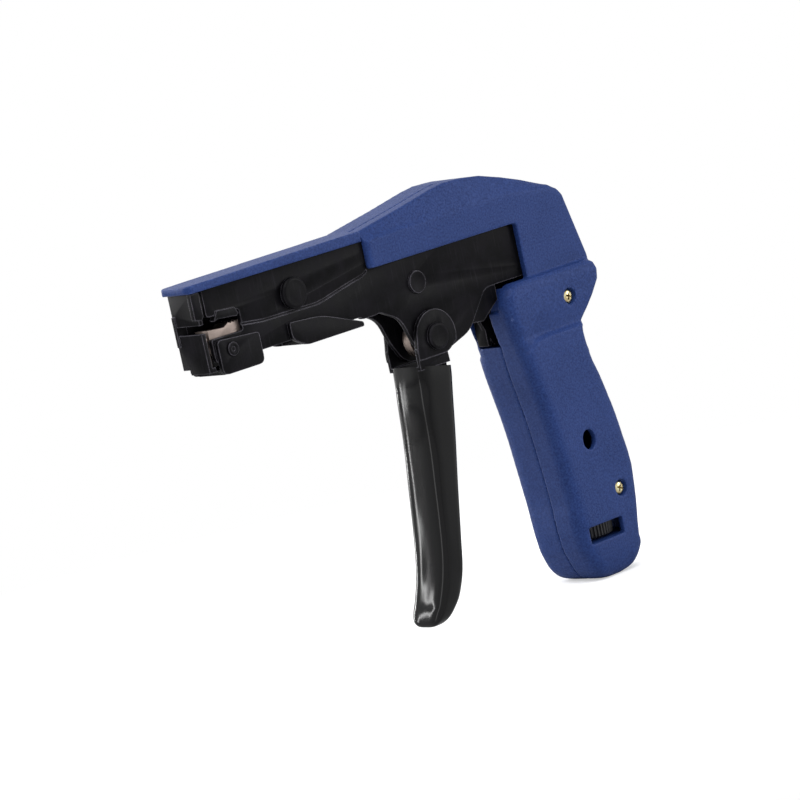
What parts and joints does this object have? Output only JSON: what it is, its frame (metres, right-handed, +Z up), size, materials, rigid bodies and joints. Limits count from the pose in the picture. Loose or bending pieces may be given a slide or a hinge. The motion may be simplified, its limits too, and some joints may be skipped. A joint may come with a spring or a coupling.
{
  "type": "cable tie tensioning tool",
  "caption": "Pistol-shaped hand tool that pulls a cable tie tight and trims its tail, with a trigger, a steel barrel and a tension wheel in the handle.",
  "frame": {"origin": "centre of the tool's box in plan, at the foot of the handle", "axes": "X along the barrel with the nose at -X, +Y towards the tool's right side, +Z up along the handle"},
  "size_m": [0.1694, 0.023, 0.134],
  "materials": {
    "blue_paint": "fine textured blue paint on die-cast halves",
    "black_steel": "black finished pressed steel",
    "black_grip": "glossy dipped soft plastic",
    "black_wheel": "moulded black wheel",
    "raw_steel": "bare hardened steel",
    "spring_steel": "drawn wire and ground pins",
    "yellow_zinc": "yellow zinc plate"
  },
  "bodies": {
    "frame": {"housing_left": "blue_paint", "housing_right": "blue_paint", "side_plate_left": "black_steel", "side_plate_right": "black_steel", "nose_plate": "black_steel", "blade_guard": "black_steel", "nose_rivets": "black_steel", "saddle_bracket": "black_steel", "barrel_stud": "black_steel", "frame_rivet": "black_steel", "rocker_pin": "raw_steel", "tension_pin": "raw_steel", "housing_screws": "yellow_zinc", "housing_inserts": "yellow_zinc", "return_spring": "spring_steel"},
    "trigger": {"trigger_lever": "black_steel", "trigger_grip": "black_grip", "trigger_pivot": "black_steel", "trigger_arm": "raw_steel", "drive_pin": "spring_steel"},
    "rocker_body": {"rocker": "raw_steel", "bar_pin": "spring_steel"},
    "bar": {"pull_bar": "raw_steel", "pawl_pin": "spring_steel", "pawl_spring": "spring_steel"},
    "pawl": {"gripper_pawl": "raw_steel"},
    "tension_arm": {"tension_lever": "raw_steel"},
    "cutter_lever": {"cut_off_lever": "raw_steel"},
    "blade": {"cut_off_blade": "raw_steel"},
    "plunger": {"spring_seat": "raw_steel"},
    "adjuster": {"adjuster_wheel": "black_wheel", "adjuster_screw": "yellow_zinc"},
    "nut": {"tension_nut": "raw_steel", "tension_spring": "spring_steel"}
  },
  "joints": [
    {"name": "trigger_pull", "type": "hinge", "parent": "frame", "child": "trigger", "pos_m": [0.00815, 0, 0.09], "axis": [0, -1, 0], "range_deg": [0, 26], "stiffness_Nm_per_rad": 0.3, "springref_deg": -17.19},
    {"name": "rocker_swing", "type": "hinge", "parent": "frame", "child": "rocker_body", "pos_m": [0.03215, 0, 0.096], "axis": [0, 1, 0], "range_deg": [0, 31.7]},
    {"name": "bar_slide", "type": "slide", "parent": "frame", "child": "bar", "axis": [1, 0, 0], "range_m": [0, 0.00875]},
    {"name": "pawl_tilt", "type": "hinge", "parent": "bar", "child": "pawl", "pos_m": [-0.06235, 0, 0.10625], "axis": [0, -1, 0], "range_deg": [0, 4], "stiffness_Nm_per_rad": 0.02, "springref_deg": -11.46},
    {"name": "tension_swing", "type": "hinge", "parent": "frame", "child": "tension_arm", "pos_m": [0.07015, 0, 0.102], "axis": [0, -1, 0], "range_deg": [0, 2.7], "stiffness_Nm_per_rad": 2, "springref_deg": -5.73},
    {"name": "cut_off_swing", "type": "hinge", "parent": "frame", "child": "cutter_lever", "pos_m": [-0.04455, 0, 0.1158], "axis": [0, 1, 0], "range_deg": [0, 6.54]},
    {"name": "blade_slide", "type": "slide", "parent": "frame", "child": "blade", "axis": [0, 0, 1], "range_m": [0, 0.00401]},
    {"name": "plunger_slide", "type": "slide", "parent": "frame", "child": "plunger", "axis": [0, 0, -1], "range_m": [0, 0.00046]},
    {"name": "wheel_turn", "type": "hinge", "parent": "frame", "child": "adjuster", "pos_m": [0.06055, 0, 0.0149], "axis": [0, 0, 1], "range_deg": [0, 1440.1]},
    {"name": "nut_slide", "type": "slide", "parent": "frame", "child": "nut", "axis": [0, 0, 1], "range_m": [0, 0.0028], "deforming": ["tension_spring"]}
  ],
  "couplings": [
    {"joint": "rocker_swing", "follows": "trigger_pull", "ratio": 1.2187},
    {"joint": "bar_slide", "follows": "trigger_pull", "m_per_rad": 0.019252},
    {"joint": "cut_off_swing", "follows": "tension_swing", "ratio": 2.42},
    {"joint": "blade_slide", "follows": "tension_swing", "m_per_rad": 0.0849},
    {"joint": "plunger_slide", "follows": "tension_swing", "m_per_rad": 0.0096},
    {"joint": "wheel_turn", "follows": "nut_slide", "rad_per_m": 8976}
  ]
}
